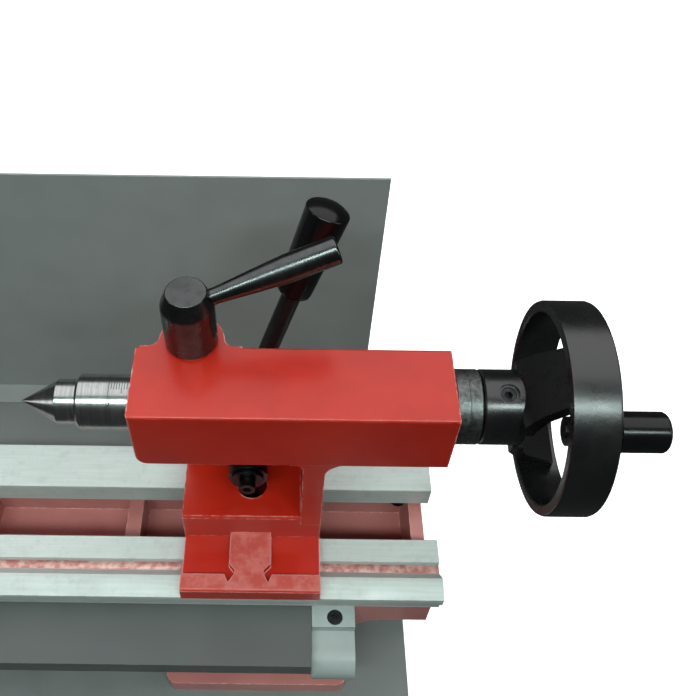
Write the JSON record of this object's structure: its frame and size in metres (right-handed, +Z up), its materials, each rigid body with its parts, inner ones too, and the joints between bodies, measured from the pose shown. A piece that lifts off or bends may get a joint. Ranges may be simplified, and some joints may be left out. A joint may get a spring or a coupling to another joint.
{
  "type": "metal lathe tailstock",
  "caption": "Tailstock end of a small bench metal lathe: bed end with steel ways, sliding tailstock, dead centre, quill lock, cam clamp, handwheel, tray and guard.",
  "frame": {"origin": "on the underside of the chip tray, below the spindle axis and in line with the clamp shaft", "axes": "+X along the bed towards the handwheel, +Y away from the operator towards the splash guard, +Z up"},
  "size_m": [0.3441, 0.2102, 0.2079],
  "materials": {
    "red_enamel": "glossy red enamel over cast iron, worn on the handled edges",
    "ground_steel": "ground along the bed, lightly marked",
    "bright_steel": "turned and polished",
    "dark_steel": "dark oiled steel",
    "collar_steel": "rough turned grey iron",
    "black_enamel": "glossy black",
    "black_oxide": "semi-gloss black oxide",
    "black_plastic": "glossy black moulding",
    "grey_sheet": "dark grey paint, low gloss",
    "grey_cast": "grey painted casting",
    "bronze": "plain turned bronze",
    "screw_steel": "blackened screw",
    "thread_steel": "cut thread, oiled"
  },
  "bodies": {
    "bed": {"bed_casting": "red_enamel", "front_way": "ground_steel", "rear_way": "ground_steel", "way_studs": "screw_steel", "way_end_screw": "screw_steel", "chip_tray": "grey_sheet", "splash_guard": "grey_sheet", "guard_screws": "screw_steel", "leadscrew_bracket": "grey_cast", "left_bracket": "grey_cast", "leadscrew_bushes": "bronze", "bracket_screws": "screw_steel", "leadscrew_cover": "grey_sheet", "cover_screws": "screw_steel"},
    "leadscrew": {"leadscrew": "thread_steel"},
    "tailstock_foot": {"tailstock_base": "red_enamel"},
    "tailstock": {"tailstock_body": "red_enamel", "hold_down_screws": "screw_steel", "quill_key": "screw_steel", "cam_bushing": "bronze", "lock_cotter_upper": "bronze", "lock_cotter_lower": "bronze", "bearing_collar": "collar_steel", "thrust_bearing": "bright_steel"},
    "quill": {"quill": "bright_steel", "feed_nut": "bronze", "dead_centre": "bright_steel"},
    "wheel": {"handwheel": "black_enamel", "hub_grub_screw": "screw_steel", "feed_screw": "thread_steel", "handle_pin": "dark_steel"},
    "handle": {"handle_grip": "black_plastic"},
    "quill_lock": {"lock_hub": "black_oxide", "lock_arm": "black_oxide", "lock_stud": "dark_steel"},
    "clamp_lever": {"cam_shaft": "dark_steel", "cam_washer": "screw_steel", "cam_screw": "screw_steel", "cam_hub": "black_oxide", "cam_rod": "black_oxide", "cam_grip": "black_plastic"},
    "clamp": {"draw_bolt": "dark_steel", "clamp_plate": "dark_steel", "clamp_nut": "screw_steel"}
  },
  "joints": [
    {"name": "bed_travel", "type": "slide", "parent": "bed", "child": "tailstock_foot", "axis": [1, 0, 0], "range_m": [-0.11, 0.03]},
    {"name": "set_over", "type": "slide", "parent": "tailstock_foot", "child": "tailstock", "axis": [0, 1, 0], "range_m": [-0.002, 0.002]},
    {"name": "wheel_turn", "type": "hinge", "parent": "tailstock", "child": "wheel", "pos_m": [0.1, 0, 0.1515], "axis": [1, 0, 0], "range_deg": [-6240, 4560]},
    {"name": "quill_travel", "type": "slide", "parent": "tailstock", "child": "quill", "axis": [1, 0, 0], "range_m": [-0.0261, 0.0191]},
    {"name": "handle_spin", "type": "hinge", "parent": "wheel", "child": "handle", "pos_m": [0.14, -0.0248, 0.1731], "axis": [1, 0, 0], "continuous": true},
    {"name": "quill_lock_turn", "type": "hinge", "parent": "tailstock", "child": "quill_lock", "pos_m": [-0.0225, 0.0198, 0.17], "axis": [0, 0, 1], "range_deg": [-70, 0]},
    {"name": "clamp_lever_turn", "type": "hinge", "parent": "tailstock", "child": "clamp_lever", "pos_m": [0, 0.03, 0.1009], "axis": [0, 1, 0], "range_deg": [-45, 30]},
    {"name": "clamp_lift", "type": "slide", "parent": "tailstock", "child": "clamp", "axis": [0, 0, 1], "range_m": [-0.0012, 0.0008]},
    {"name": "leadscrew_turn", "type": "hinge", "parent": "bed", "child": "leadscrew", "pos_m": [0, -0.058, 0.0315], "axis": [1, 0, 0], "continuous": true}
  ],
  "couplings": [
    {"joint": "quill_travel", "follows": "wheel_turn", "m_per_rad": 0.00023873},
    {"joint": "clamp_lift", "follows": "clamp_lever_turn", "m_per_rad": 0.0015}
  ]
}
